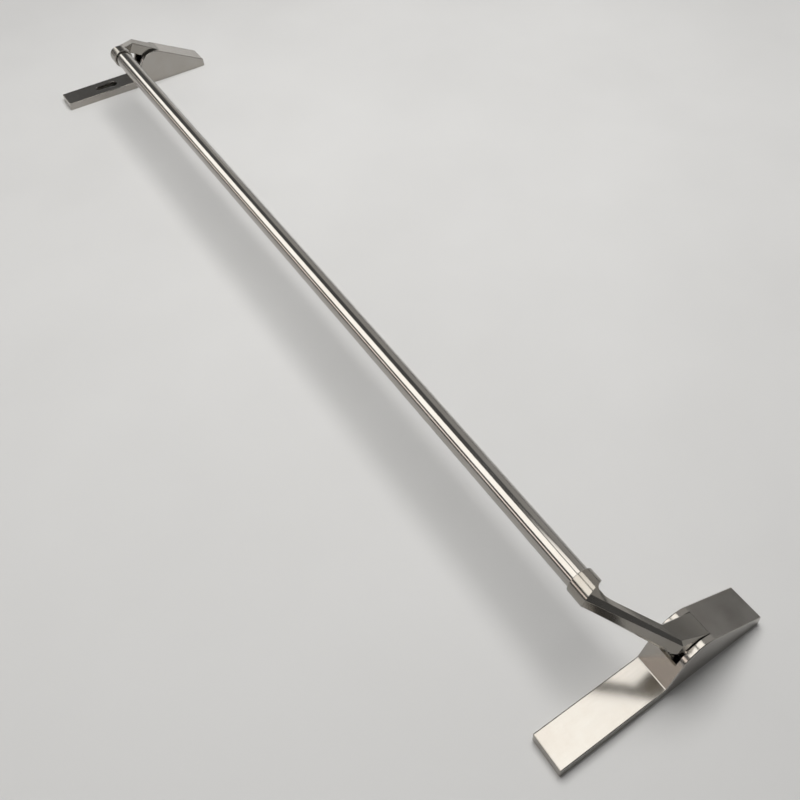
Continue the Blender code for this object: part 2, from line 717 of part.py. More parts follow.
def elbow_ring(radius, shift):
    """The shank's end on the mitre plane: points on a circle about the tube's axis."""
    normal = mitre_normal()
    points = []
    for degrees_round in ELBOW_ANGLES:
        angle = radians(degrees_round)
        across = Vector((0, sin(angle), cos(angle))) * radius
        along = -across.dot(normal) / normal.x
        points.append(ELBOW + across + X_AXIS * (along + shift))
    return points


def shank_rings():
    """Stations from the crease to the elbow. The rear side stays parallel to the front, then flares."""
    start = crease_ring()
    end = elbow_ring(COLLAR_RADIUS - SHANK_INSET, 0)
    front = (0, 5, 6, 7)
    drift = (end[0] - start[0] + end[7] - start[7]) / 2
    rings = [start]
    for t in SHANK_STATIONS:
        flare = max(0.0, (t - FLARE_START) / (1 - FLARE_START)) ** 2
        station = []
        for i in range(8):
            if i in front:
                station.append(start[i].lerp(end[i], t))
            else:
                parallel = start[i] + drift * t
                station.append(parallel + (end[i] - start[i] - drift) * flare)
        rings.append(station)
    rings.append(elbow_ring(COLLAR_RADIUS - SHANK_INSET - SINK, SHANK_OVERLAP))
    return rings


def head_side(u):
    """Side outline of head, hub and rear sector, from the hub's underside round to the seam top."""
    gap_angle = GAP / HUMP_RADIUS
    seam = SEAM_ANGLE + gap_angle
    rise = Vector((0, -cos(HEAD_RISE), sin(HEAD_RISE)))
    normal = Vector((0, sin(HEAD_RISE), cos(HEAD_RISE)))
    distance = (polar(SEAM_ANGLE, HUMP_RADIUS) - PIVOT).dot(normal) - HEAD_DEPTH
    hub_start = atan2(normal.z, normal.y) + acos(distance / HUB_RADIUS)
    points = []
    for i in range(HUB_STEPS + 1):
        points.append(polar(hub_start + (2 * pi - hub_start) * i / HUB_STEPS, HUB_RADIUS))
    for i in range(SECTOR_STEPS + 1):
        points.append(polar(seam * i / SECTOR_STEPS, SECTOR_RADIUS))
    points.append(polar(SEAM_ANGLE, HUMP_RADIUS) + rise * GAP)
    return [p + X_AXIS * u for p in points]


def arm_body():
    """Head, hub and sector with the shank, as one skin."""
    bm = bmesh.new()
    outer = [bm.verts.new(p) for p in head_side(-HEAD_HALF)]
    inner = [bm.verts.new(p) for p in head_side(HEAD_HALF)]
    rings = [[bm.verts.new(p) for p in station] for station in shank_rings()]
    top_out, top_in, side_top, side_low, low_in, low_out, front_low, front_top = rings[0]
    bm.faces.new([front_top, front_low] + outer)
    bm.faces.new([side_low, side_top] + inner[::-1])
    for i in range(len(outer) - 1):
        bm.faces.new([outer[i], outer[i + 1], inner[i + 1], inner[i]])
    bm.faces.new([top_out, top_in, inner[-1], outer[-1]])
    bm.faces.new([top_out, outer[-1], front_top])
    bm.faces.new([top_in, side_top, inner[-1]])
    bm.faces.new([low_out, low_in, inner[0], outer[0]])
    bm.faces.new([low_out, front_low, outer[0]])
    bm.faces.new([low_in, inner[0], side_low])
    for first, second in zip(rings, rings[1:]):
        for i in range(8):
            j = (i + 1) % 8
            bm.faces.new([first[i], first[j], second[j], second[i]])
    bm.faces.new(rings[-1])
    close_solid(bm)
    return bm


def collar_solid():
    """Solid collar about the tube's axis, cut off on the mitre plane, with a rounded rim."""
    edge = COLLAR_EDGE
    rounding = edge * (1 - cos(pi / 4))
    back = ELBOW_REACH - COLLAR_BACK - COLLAR_RIM
    profile = [
        (0, 0), (COLLAR_RADIUS - edge, 0), (COLLAR_RADIUS - rounding, -rounding), (COLLAR_RADIUS, -edge),
        (COLLAR_RADIUS, back), (0, back),
    ]
    bm = aim(turned(profile, COLLAR_SIDES), X_AXIS, (COLLAR_RIM, COLLAR_Y, COLLAR_Z))
    geometry = bm.verts[:] + bm.edges[:] + bm.faces[:]
    sliced = bmesh.ops.bisect_plane(
        bm, geom=geometry, dist=1e-7, plane_co=ELBOW, plane_no=mitre_normal(), clear_inner=True,
    )
    rim = [e for e in sliced["geom_cut"] if isinstance(e, bmesh.types.BMEdge)]
    bmesh.ops.contextual_create(bm, geom=rim)
    close_solid(bm)
    return bm


def toe():
    """Lug at the front of the hub that presses on the spring's plunger. Its underside is level at rest."""
    tip = polar(TOE_ANGLE, TOE_REACH)
    root = polar(TOE_ANGLE, HUB_RADIUS * ROOT_SHARE)
    over = TOE_ANGLE - pi / 2
    outline = arc(tip.y, tip.z, TOE_RADIUS, over, 3 * pi / 2, 10)
    outline.append((root.y, tip.z - TOE_RADIUS))
    outline.append((root.y + TOE_RADIUS * cos(over), root.z + TOE_RADIUS * sin(over)))
    return prism(outline, "X", -TOE_HALF, TOE_HALF)


def finger():
    """Ball-ended finger under the hub that turns the spindle follower."""
    angle = -pi / 2 - HALF_PRESS
    ball = polar(angle, FINGER_REACH) + X_AXIS * FINGER_OFFSET
    outwards = polar(angle, 1) - PIVOT
    length = FINGER_REACH - HUB_RADIUS * FINGER_ROOT_SHARE
    blend = acos(FINGER_NECK / FINGER_BALL)
    profile = [(0, FINGER_BALL)]
    profile += arc(0, 0, FINGER_BALL, pi / 2, -blend, 7)[1:]
    profile += [(FINGER_NECK, -length), (0, -length)]
    return aim(turned(profile, SMALL_SIDES), outwards, ball)


def arm(unit, is_lock, joint):
    obj = node(f"{unit.name}_arm", unit.place(arm_body()), STEEL, unit.pivot, joint)
    join(obj, unit, "collar", collar_solid())
    join(obj, unit, "toe", toe())
    if is_lock:
        join(obj, unit, "finger", finger())
    bore = rod(
        (COLLAR_RIM - TUBE_INSERT - GAP, COLLAR_Y, COLLAR_Z), (COLLAR_RIM + COLLAR_WALL, COLLAR_Y, COLLAR_Z),
        TUBE_RADIUS + GAP, COLLAR_SIDES,
    )
    cut(obj, unit, "bore", bore)
    reach = X_AXIS * 2 * HEAD_HALF
    cut(obj, unit, "pin_hole", rod(PIVOT - reach, PIVOT + reach, PIN_RADIUS + GAP, PIN_SIDES))
    for label, side in (("recess_a", 1), ("recess_b", -1)):
        floor = PIVOT + X_AXIS * side * HUB_HALF
        cut(obj, unit, label, rod(floor, PIVOT + reach * side, WASHER_RADIUS + 2 * GAP, PIN_SIDES))
    hole = arm_screw_solid(ARM_SCREW_RADIUS + GAP, COLLAR_RADIUS + COLLAR_WALL, TUBE_RADIUS / 2)
    cut(obj, unit, "screw_hole", hole)
    return obj


def arm_screw_solid(radius, outer, inner):
    """Radial cylinder on the collar's underside, between two distances from the tube's axis."""
    along = COLLAR_RIM - TUBE_INSERT / 2
    return rod((along, COLLAR_Y, COLLAR_Z - outer), (along, COLLAR_Y, COLLAR_Z - inner), radius, SCREW_SIDES)


def arm_screw(unit, joint):
    """Socket set screw through collar, tube and plug."""
    along = COLLAR_RIM - TUBE_INSERT / 2
    chamfer = ARM_SCREW_CHAMFER
    profile = [
        (0, -ARM_SOCKET_DEPTH), (ARM_SOCKET_RADIUS, -ARM_SOCKET_DEPTH), (ARM_SOCKET_RADIUS, 0),
        (ARM_SCREW_RADIUS - chamfer, 0), (ARM_SCREW_RADIUS, -chamfer), (ARM_SCREW_RADIUS, -ARM_SCREW_LENGTH),
        (0, -ARM_SCREW_LENGTH),
    ]
    start = (along, COLLAR_Y, COLLAR_Z - COLLAR_RADIUS + ARM_SCREW_RECESS)
    bm = aim(turned(profile, SCREW_SIDES), -Z_AXIS, start)
    return node(f"{unit.name}_arm_screw", unit.place(bm), BRIGHT, unit.pivot, joint)


# ---------------------------------------------------------------- tube and plugs

def push_tube(units, joint):
    half = VISIBLE_TUBE / 2 + TUBE_INSERT
    bm = ring(TUBE_RADIUS - TUBE_WALL, TUBE_RADIUS, -half, half, TUBE_SIDES)
    bm = aim(bm, X_AXIS, (0, COLLAR_Y, COLLAR_Z))
    origin = Vector((0, PIVOT.y, PIVOT.z))
    obj = node("push_tube", bm, STEEL, origin, joint)
    for unit in units:
        hole = arm_screw_solid(ARM_SCREW_RADIUS + GAP, COLLAR_RADIUS, TUBE_RADIUS - 3 * TUBE_WALL)
        cut(obj, unit, f"{unit.name}_hole", hole)
    return obj


def tube_plug(unit, joint):
    radius = TUBE_RADIUS - TUBE_WALL - GAP
    edge = PLUG_CHAMFER
    low = COLLAR_RIM - TUBE_INSERT + GAP
    profile = [
        (0, PLUG_LENGTH), (radius - edge, PLUG_LENGTH), (radius, PLUG_LENGTH - edge),
        (radius, 0), (0, 0),
    ]
    bm = aim(turned(profile, BOSS_SIDES), X_AXIS, (low, COLLAR_Y, COLLAR_Z))
    obj = node(f"{unit.name}_tube_plug", unit.place(bm), ZINC, unit.pivot, joint)
    depth = COLLAR_RADIUS - ARM_SCREW_RECESS - ARM_SCREW_LENGTH - GAP
    cut(obj, unit, "hole", arm_screw_solid(ARM_SCREW_RADIUS + GAP, COLLAR_RADIUS, depth))
    return obj


# ---------------------------------------------------------------- spring, plunger, buffer

def plunger_top():
    """Height of the plunger's top at rest, just under the toe."""
    return PIVOT.z + TOE_TRAVEL / 2 - TOE_RADIUS - GAP


def return_plunger(unit, joint):
    """Flanged sleeve that slides on the bracket's post and carries the spring's top."""
    bore = GUIDE_RADIUS + GAP
    skirt = WEB_TOP + TOE_TRAVEL + GAP
    top = plunger_top()
    under = top - PLUNGER_HEAD
    profile = [
        (0, top), (PLUNGER_RADIUS - PLUNGER_CHAMFER, top), (PLUNGER_RADIUS, top - PLUNGER_CHAMFER),
        (PLUNGER_RADIUS, under), (bore + PLUNGER_WALL, under), (bore + PLUNGER_WALL, skirt), (bore, skirt),
        (bore, under), (0, under),
    ]
    bm = aim(turned(profile, PLUNGER_SIDES), Z_AXIS, (0, FRONT_WEB_Y, 0))
    return node(f"{unit.name}_return_plunger", unit.place(bm), BRIGHT, joint.location.copy(), joint)


def return_spring(unit, joint):
    """Compression spring between the front web and the plunger's flange."""
    wire = SPRING_WIRE / 2
    low = WEB_TOP + GAP + wire
    high = plunger_top() - PLUNGER_HEAD - GAP - wire
    steps = round(SPRING_TURNS * SPRING_STEPS)
    curve = bpy.data.curves.new(f"{unit.name}_return_spring", "CURVE")
    curve.dimensions = "3D"
    curve.bevel_depth = wire
    curve.bevel_resolution = 1
    curve.use_fill_caps = True
    spline = curve.splines.new("POLY")
    spline.points.add(steps)
    origin = joint.location
    for i in range(steps + 1):
        turn = 2 * pi * SPRING_TURNS * i / steps
        radius = SPRING_RADIUS - wire
        height = low + (high - low) * i / steps
        local = Vector((radius * cos(turn), FRONT_WEB_Y + radius * sin(turn), height))
        world = unit.matrix @ local - origin
        spline.points[i].co = (*world, 1)
    obj = bpy.data.objects.new(f"{unit.name}_return_spring", curve)
    curve.materials.append(material(obj.name + "_material", SPRING_STEEL))
    bpy.context.scene.collection.objects.link(obj)
    obj.parent = joint
    return obj


def stop_buffer(unit):
    """Rubber mushroom under the arm's rear sector."""
    top = PIVOT.z - GAP
    under = top - BUFFER_HEIGHT
    profile = [
        (0, top), (BUFFER_RADIUS - BUFFER_EDGE, top), (BUFFER_RADIUS, top - BUFFER_EDGE),
        (BUFFER_RADIUS, under), (BUFFER_STEM, under), (BUFFER_STEM, under - BUFFER_STEM_LENGTH),
        (0, under - BUFFER_STEM_LENGTH),
    ]
    bm = aim(turned(profile, FIXING_SIDES), Z_AXIS, (0, REAR_WEB_Y, 0))
    return node(f"{unit.name}_stop_buffer", unit.place(bm), RUBBER)


# ---------------------------------------------------------------- spindle follower

def spindle_follower(unit, joint):
    """Square-holed follower with a forked lever that the arm's finger turns."""
    boss_top = FORK_BOTTOM + BOSS_RISE
    profile = [
        (0, boss_top), (FOLLOWER_BOSS, boss_top),
        (FOLLOWER_BOSS, WEB_Z + WEB_THICKNESS), (FOLLOWER_FLANGE, WEB_Z + WEB_THICKNESS),
        (FOLLOWER_FLANGE, WEB_Z), (FOLLOWER_BOSS, WEB_Z), (FOLLOWER_BOSS, GAP), (0, GAP),
    ]
    centre = Vector((0, PIVOT.y, 0))
    bm = aim(turned(profile, BOSS_SIDES), Z_AXIS, centre)
    obj = node(f"{unit.name}_spindle_follower", unit.place(bm), ZINC, joint.location.copy(), joint)
    low = FOLLOWER_REST - FORK_HALF_ANGLE
    high = FOLLOWER_REST + FORK_HALF_ANGLE
    fork = arc(0, 0, FOLLOWER_FORK, low, high, 12)
    fork += arc(0, 0, FOLLOWER_BOSS * FORK_ROOT_SHARE, high, low + 2 * pi, SMALL_SIDES)
    plate = prism([(u, y + PIVOT.y) for u, y in fork], "Z", FORK_BOTTOM, FORK_TOP)
    join(obj, unit, "fork", plate)
    half = FINGER_BALL + FORK_PLAY
    along = Vector((cos(FOLLOWER_REST), sin(FOLLOWER_REST)))
    across = Vector((-along.y, along.x))
    corners = []
    inner_end = FINGER_OFFSET - FINGER_BALL - 2 * FORK_PLAY
    for reach, side in ((inner_end, -1), (2 * FOLLOWER_FORK, -1), (2 * FOLLOWER_FORK, 1), (inner_end, 1)):
        corner = along * reach + across * half * side
        corners.append((corner.x, corner.y + PIVOT.y))
    slot_floor = FORK_BOTTOM - FORK_SLOT_SINK
    cut(obj, unit, "fork_slot", prism(corners, "Z", slot_floor, FORK_TOP + FORK_THICKNESS))
    half_square = SPINDLE_SQUARE / 2
    socket = block(
        (-half_square, PIVOT.y - half_square, -PLATE_THICKNESS),
        (half_square, PIVOT.y + half_square, FORK_BOTTOM - SOCKET_ROOF),
    )
    cut(obj, unit, "socket", socket)
    return obj


def follower_keeper(unit):
    """Open plate over the follower's flange, held by the rear bracket screws."""
    low = WEB_TOP + GAP
    high = low + KEEPER_THICKNESS
    back = REAR_WEB_Y + WEB_LENGTH / 2
    side = CHEEK_IN - GAP
    front = PIVOT.y - FOLLOWER_FLANGE
    hole = FOLLOWER_BOSS + GAP
    notch = TOWER_WIDTH / 2 + GAP
    notch_y = REAR_WEB_Y - TOWER_LENGTH / 2 - GAP
    outline = [(side, front), (side, back), (notch, back), (notch, notch_y)]
    outline += [(-notch, notch_y), (-notch, back), (-side, back), (-side, front), (-hole, front)]
    outline += [(u, y + PIVOT.y) for u, y in arc(0, 0, hole, pi, 0, 18)]
    outline += [(hole, front)]
    obj = node(f"{unit.name}_follower_keeper", unit.place(prism(outline, "Z", low, high)), ZINC)
    for i, (u, y) in enumerate(screw_places()):
        if y > PIVOT.y:
            hole = rod((u, y, 0), (u, y, 2 * high), SCREW_RADIUS + GAP, SCREW_SIDES)
            cut(obj, unit, f"hole_{i}", hole)
    return obj


# ---------------------------------------------------------------- assembly

def end_unit(unit, is_lock, bar_joint):
    cover(unit, is_lock)
    cover_screw(unit)
    base_plate(unit, is_lock)
    pivot_bracket(unit)
    bracket_screws(unit, is_lock)
    pivot_pin(unit)
    retaining_ring(unit)
    thrust_washers(unit)
    stop_buffer(unit)
    arm(unit, is_lock, bar_joint)
    arm_screw(unit, bar_joint)
    tube_plug(unit, bar_joint)
    slide_place = unit.matrix @ Vector((0, FRONT_WEB_Y, plunger_top()))
    slide = joint_empty(f"{unit.name}_plunger_joint", slide_place)
    return_plunger(unit, slide)
    return_spring(unit, slide)
    if is_lock:
        spindle_place = unit.matrix @ Vector((0, PIVOT.y, FORK_BOTTOM))
        spindle = joint_empty(f"{unit.name}_spindle_joint", spindle_place)
        spindle_follower(unit, spindle)
        follower_keeper(unit)


def main():
    clear_scene()
    lock = Unit("lock", 1)
    hinge = Unit("hinge", -1)
    bar_joint = joint_empty("push_bar_joint", Vector((0, PIVOT.y, PIVOT.z)))
    end_unit(lock, True, bar_joint)
    end_unit(hinge, False, bar_joint)
    push_tube((lock, hinge), bar_joint)


main()
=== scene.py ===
"""Looks of the panic exit bar: finer covers, arms, tube and springs, materials and a studio."""

import json
from math import acos, atan2, cos, pi, radians, sin, tan

import bmesh
import bpy
from mathutils import Matrix, Quaternion, Vector


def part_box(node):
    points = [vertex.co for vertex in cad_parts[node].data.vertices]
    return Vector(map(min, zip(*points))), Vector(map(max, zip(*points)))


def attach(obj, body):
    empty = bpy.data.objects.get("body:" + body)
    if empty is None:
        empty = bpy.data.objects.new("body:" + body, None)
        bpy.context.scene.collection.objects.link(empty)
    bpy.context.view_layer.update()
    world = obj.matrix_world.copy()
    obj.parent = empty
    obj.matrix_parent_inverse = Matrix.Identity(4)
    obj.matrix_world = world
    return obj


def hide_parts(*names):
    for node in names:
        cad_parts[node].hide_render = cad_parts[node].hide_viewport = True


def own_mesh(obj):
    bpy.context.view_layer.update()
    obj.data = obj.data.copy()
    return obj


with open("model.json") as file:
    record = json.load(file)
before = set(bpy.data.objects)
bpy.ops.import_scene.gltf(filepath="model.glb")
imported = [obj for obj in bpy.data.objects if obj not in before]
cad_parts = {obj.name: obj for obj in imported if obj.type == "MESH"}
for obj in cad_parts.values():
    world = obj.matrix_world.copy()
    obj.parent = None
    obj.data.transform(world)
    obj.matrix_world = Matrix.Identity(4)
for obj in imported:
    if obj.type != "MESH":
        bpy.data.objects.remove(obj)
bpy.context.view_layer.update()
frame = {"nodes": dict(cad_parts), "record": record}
RECORD = frame["record"]

MM = 0.001
X_AXIS = Vector((1, 0, 0))
Z_AXIS = Vector((0, 0, 1))


# ---------------------------------------------------------------- sizes read from the frame

def joint_place(name):
    for joint in RECORD["behaviour"]["joints"]:
        if joint["name"] == name:
            return Vector(joint["pos_m"])
    raise ValueError(name)


COVER_LOW, COVER_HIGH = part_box("lock_cover")
TUBE_LOW, TUBE_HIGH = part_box("push_tube")
_, ARM_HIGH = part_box("lock_arm")
PIVOT = joint_place("bar_press")

UNIT_X = -(COVER_LOW.x + COVER_HIGH.x) / 2
COVER_WIDTH = COVER_HIGH.x - COVER_LOW.x
TRAY_LENGTH = -COVER_LOW.y
END_Y = COVER_HIGH.y
HUMP_RADIUS = COVER_HIGH.z - PIVOT.z
TUBE_RADIUS = (TUBE_HIGH.z - TUBE_LOW.z) / 2
TUBE_END = TUBE_HIGH.x
COLLAR_Y = (TUBE_LOW.y + TUBE_HIGH.y) / 2
COLLAR_Z = (TUBE_LOW.z + TUBE_HIGH.z) / 2
COLLAR_RADIUS = ARM_HIGH.z - COLLAR_Z
COLLAR_RIM = ARM_HIGH.x + UNIT_X

# The sizes below are the part's own and aren't in the record
TRAY_HEIGHT = 11 * MM
FRONT_ANGLE = radians(65)
SLOPE_ANGLE = radians(29)
COVER_WALL = 1.6 * MM
COVER_EDGE = 1.1 * MM
SLOT_WIDTH = 23 * MM
SLOT_SILL = 32.6 * MM
HEAD_HALF = 10.75 * MM
HEAD_DEPTH = 16 * MM
HEAD_RISE = radians(32)
HEAD_END_LEAN = radians(27.3)
CREASE_REACH = 41.5 * MM
CREASE_SKEW = 6.5 * MM
ELBOW_REACH = 56 * MM
FRONT_CHAMFER = 3.4 * MM
EDGE_CHAMFER = 1.4 * MM
GAP = 0.3 * MM
SEAM_ANGLE = pi / 2 - SLOPE_ANGLE
# The toe's turn above level at rest, and the finger's turn from straight down
REST_LEAN = radians(15)
HUB_RADIUS = 12 * MM
SECTOR_RADIUS = 22 * MM
HUB_HALF = 9.7 * MM
PIN_HOLE_RADIUS = 4.3 * MM
WASHER_RECESS_RADIUS = 8.9 * MM
TUBE_WALL = 1.5 * MM
COVER_SCREW_HEIGHT = 5.5 * MM
COVER_SCREW_HOLE = 3.3 * MM
CLIP_SPACING = 14 * MM
CLIP_HOLE = 1.9 * MM
CYLINDER_TO_SPINDLE = 72 * MM
CYLINDER_HEIGHT = 33 * MM
CYLINDER_RADIUS = 8.5 * MM
CYLINDER_LEG = 5 * MM
FINGER_REACH = 14 * MM
FINGER_OFFSET = 8.2 * MM
SPRING_TURNS = 5.5
SPRING_WIRE = 0.6 * MM

# Softening and overlaps of the finer pieces
CUT_THROUGH = 2 * MM
INSIDE_FILLET = 1.6 * MM
COLLAR_EDGE = 0.8 * MM
COLLAR_BACK = 16 * MM
FORGED_EDGE = 0.45 * MM
TUBE_EDGE = 0.4 * MM
SHANK_STATIONS = 16
FLARE_START = 0.5
# Where the shank's eight edges meet the collar: degrees about the tube's axis from +z towards +y
ELBOW_ANGLES = (-28, 44, 66, 104, 140, 232, 254, -58)


# ---------------------------------------------------------------- mesh helpers

def arc(centre_y, centre_z, radius, start, end, steps):
    points = []
    for i in range(steps + 1):
        angle = start + (end - start) * i / steps
        points.append((centre_y + radius * cos(angle), centre_z + radius * sin(angle)))
    return points


def polar(angle, radius):
    """Point in the pivot's y-z plane."""
    return Vector((0, PIVOT.y + radius * cos(angle), PIVOT.z + radius * sin(angle)))


def close_solid(bm):
    bmesh.ops.remove_doubles(bm, verts=bm.verts[:], dist=1e-7)
    bmesh.ops.recalc_face_normals(bm, faces=bm.faces[:])


def prism(outline, axis, low, high):
    place = {
        "X": lambda a, b: (low, a, b),
        "Y": lambda a, b: (a, low, b),
        "Z": lambda a, b: (a, b, low),
    }[axis]
    along = {"X": (1, 0, 0), "Y": (0, 1, 0), "Z": (0, 0, 1)}[axis]
    bm = bmesh.new()
    face = bm.faces.new([bm.verts.new(place(a, b)) for a, b in outline])
    moved = bmesh.ops.extrude_face_region(bm, geom=[face])
    verts = [v for v in moved["geom"] if isinstance(v, bmesh.types.BMVert)]
    bmesh.ops.translate(bm, vec=Vector(along) * (high - low), verts=verts)
    close_solid(bm)
    return bm


def turned(profile, steps, closed=False):
    bm = bmesh.new()
    half_step = pi / steps
    verts = [bm.verts.new((r * cos(half_step), r * sin(half_step), h)) for r, h in profile]
    ends = verts[1:] + verts[:1] if closed else verts[1:]
    edges = [bm.edges.new(pair) for pair in zip(verts, ends)]
    bmesh.ops.spin(
        bm, geom=verts + edges, axis=Z_AXIS, cent=(0, 0, 0), angle=2 * pi, steps=steps,
        use_merge=True, use_duplicate=False,
    )
    close_solid(bm)
    return bm


def aim(bm, direction, point):
    turn = Vector(direction).to_track_quat("Z", "Y").to_matrix().to_4x4()
    bmesh.ops.transform(bm, matrix=Matrix.Translation(point) @ turn, verts=bm.verts[:])
    return bm


def rod(start, end, radius, steps):
    start = Vector(start)
    span = Vector(end) - start
    profile = [(0, span.length), (radius, span.length), (radius, 0), (0, 0)]
    return aim(turned(profile, steps), span, start)


def mesh_object(name, bm):
    mesh = bpy.data.meshes.new(name)
    bm.to_mesh(mesh)
    bm.free()
    obj = bpy.data.objects.new(name, mesh)
    bpy.context.scene.collection.objects.link(obj)
    return obj


def combine(obj, tools):
    """Applies a list of (operation, bmesh) booleans and removes the tools."""
    helpers = []
    for i, (operation, bm) in enumerate(tools):
        tool = mesh_object(f"{obj.name}_tool_{i}", bm)
        modifier = obj.modifiers.new(tool.name, "BOOLEAN")
        modifier.operation = operation
        modifier.solver = "EXACT"
        modifier.object = tool
        helpers.append(tool)
    bpy.context.view_layer.update()
    final = bpy.data.meshes.new_from_object(obj.evaluated_get(bpy.context.evaluated_depsgraph_get()))
    obj.modifiers.clear()
    obj.data = final
    for tool in helpers:
        bpy.data.objects.remove(tool, do_unlink=True)


def place_in_unit(obj, side):
    """Moves a piece made in a unit's frame (u inboard) to its place: side 1 is the lock unit."""
    matrix = Matrix.Translation((-side * UNIT_X, 0, 0)) @ Matrix.Diagonal((side, 1, 1, 1))
    obj.data.transform(matrix)
    if side < 0:
        obj.data.flip_normals()


def smooth(obj, angle=radians(28)):
    obj.data.shade_smooth()
    obj.data.set_sharp_from_angle(angle=angle)
    modifier = obj.modifiers.new("even_normals", "WEIGHTED_NORMAL")
    modifier.keep_sharp = True
    modifier.weight = 60


# ---------------------------------------------------------------- covers

def cover_outline(inset, steps):
    floor = 0 if inset == 0 else -CUT_THROUGH
    radius = HUMP_RADIUS - inset
    front = FRONT_ANGLE + pi / 2
    tray_top = TRAY_HEIGHT - inset
    rise = PIVOT.z + radius * sin(front) - tray_top
    foot_y = PIVOT.y + radius * cos(front) - rise / tan(FRONT_ANGLE)
    fillet = INSIDE_FILLET
    centre_y = foot_y - fillet * tan(FRONT_ANGLE / 2)
    end_y = END_Y - inset
    seam_y = PIVOT.y + radius * cos(SEAM_ANGLE)
    end_top = PIVOT.z + radius * sin(SEAM_ANGLE) - (end_y - seam_y) * tan(SLOPE_ANGLE)
    points = [(-TRAY_LENGTH + inset, floor), (-TRAY_LENGTH + inset, tray_top)]
    points += arc(centre_y, tray_top + fillet, fillet, -pi / 2, FRONT_ANGLE - pi / 2, 8)
    points += arc(PIVOT.y, PIVOT.z, radius, front, SEAM_ANGLE, steps)
    points += [(end_y, end_top), (end_y, floor)]
    return points


def round_cover_edges(bm):
    picked = []
    for edge in bm.edges:
        if max(v.co.z for v in edge.verts) < 0.1 * MM:
            continue
        if edge.calc_face_angle() < radians(20):
            continue
        if edge.is_convex:
            picked.append(edge)
    bmesh.ops.bevel(
        bm, geom=picked, offset=COVER_EDGE, offset_type="OFFSET", segments=4, profile=0.5,
        affect="EDGES", clamp_overlap=True,
    )


def slot_cutter():
    within, beyond = 0.6 * HUMP_RADIUS, 1.4 * HUMP_RADIUS
    inner = polar(SEAM_ANGLE, within).yz
    outer = polar(SEAM_ANGLE, beyond).yz
    outline = [
        (-HUMP_RADIUS, SLOT_SILL), (PIVOT.y - within, SLOT_SILL), inner, outer,
        (-HUMP_RADIUS, outer[1]),
    ]
    return prism(outline, "X", -SLOT_WIDTH / 2, SLOT_WIDTH / 2)


def cylinder_cutter():
    """European profile opening: a round head on a narrower leg with a round end."""
    low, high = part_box("lock_base_plate")
    head, leg = CYLINDER_RADIUS, CYLINDER_LEG
    centre_y = PIVOT.y - CYLINDER_TO_SPINDLE
    leg_y = centre_y + head - CYLINDER_HEIGHT + leg
    meet = acos(leg / head)
    outline = [(leg, leg_y)]
    outline += [(u, centre_y + y) for u, y in arc(0, 0, head, -meet, pi + meet, 40)]
    outline += [(-leg, leg_y)]
    outline += [(u, leg_y + y) for u, y in arc(0, 0, leg, pi, 2 * pi, 20)][1:-1]
    return prism(outline, "Z", low.z - TRAY_HEIGHT, high.z + TRAY_HEIGHT)


def cover(name, side, has_cylinder):
    bm = prism(cover_outline(0, 36), "X", -COVER_WIDTH / 2, COVER_WIDTH / 2)
    round_cover_edges(bm)
    obj = mesh_object(f"{name}_cover_shell", bm)
    inner = COVER_WIDTH / 2 - COVER_WALL
    tools = [
        ("DIFFERENCE", prism(cover_outline(COVER_WALL, 36), "X", -inner, inner)),
        ("DIFFERENCE", slot_cutter()),
    ]
    if has_cylinder:
        tools.append(("DIFFERENCE", cylinder_cutter()))
    screw_z = COVER_SCREW_HEIGHT
    hole_start = (0, END_Y - 5 * MM, screw_z)
    hole_end = (0, END_Y + CUT_THROUGH, screw_z)
    tools.append(("DIFFERENCE", rod(hole_start, hole_end, COVER_SCREW_HOLE, 40)))
    for u in (-CLIP_SPACING / 2, CLIP_SPACING / 2):
        half = CLIP_HOLE
        outline = [(u - half, -MM), (u + half, -MM), (u + half, half), (u - half, half)]
        tools.append(("DIFFERENCE", prism(outline, "Y", -TRAY_LENGTH - MM, -TRAY_LENGTH + 4 * MM)))
    combine(obj, tools)
    place_in_unit(obj, side)
    smooth(obj)
    return obj


# ---------------------------------------------------------------- arms

ELBOW = Vector((ELBOW_REACH, COLLAR_Y, COLLAR_Z))


def crease_corners():
    seam = polar(SEAM_ANGLE, HUMP_RADIUS)
    rise = Vector((0, -cos(HEAD_RISE), sin(HEAD_RISE)))
    middle = seam + rise * CREASE_REACH
    skew = rise * CREASE_SKEW / 2
    top_out = middle - skew - X_AXIS * HEAD_HALF
    top_in = middle + skew + X_AXIS * HEAD_HALF
    down = Vector((0, -sin(HEAD_END_LEAN), -cos(HEAD_END_LEAN))) * HEAD_DEPTH
    return top_out, top_in, top_out + down, top_in + down


def between(a, b, distance):
    return a + (b - a).normalized() * distance


def crease_ring():
    top_out, top_in, low_out, low_in = crease_corners()
    return [
        between(top_out, top_in, FRONT_CHAMFER), between(top_in, top_out, EDGE_CHAMFER),
        between(top_in, low_in, EDGE_CHAMFER), between(low_in, top_in, EDGE_CHAMFER),
        between(low_in, low_out, EDGE_CHAMFER), between(low_out, low_in, FRONT_CHAMFER),
        between(low_out, top_out, FRONT_CHAMFER), between(top_out, low_out, FRONT_CHAMFER),
    ]


def mitre_normal():
    corners = crease_corners()
    middle = (corners[0] + corners[1] + corners[2] + corners[3]) / 4
    return ((ELBOW - middle).normalized() + X_AXIS).normalized()


def elbow_ring(radius, shift):
    normal = mitre_normal()
    points = []
    for degrees_round in ELBOW_ANGLES:
        angle = radians(degrees_round)
        across = Vector((0, sin(angle), cos(angle))) * radius
        points.append(ELBOW + across + X_AXIS * (shift - across.dot(normal) / normal.x))
    return points


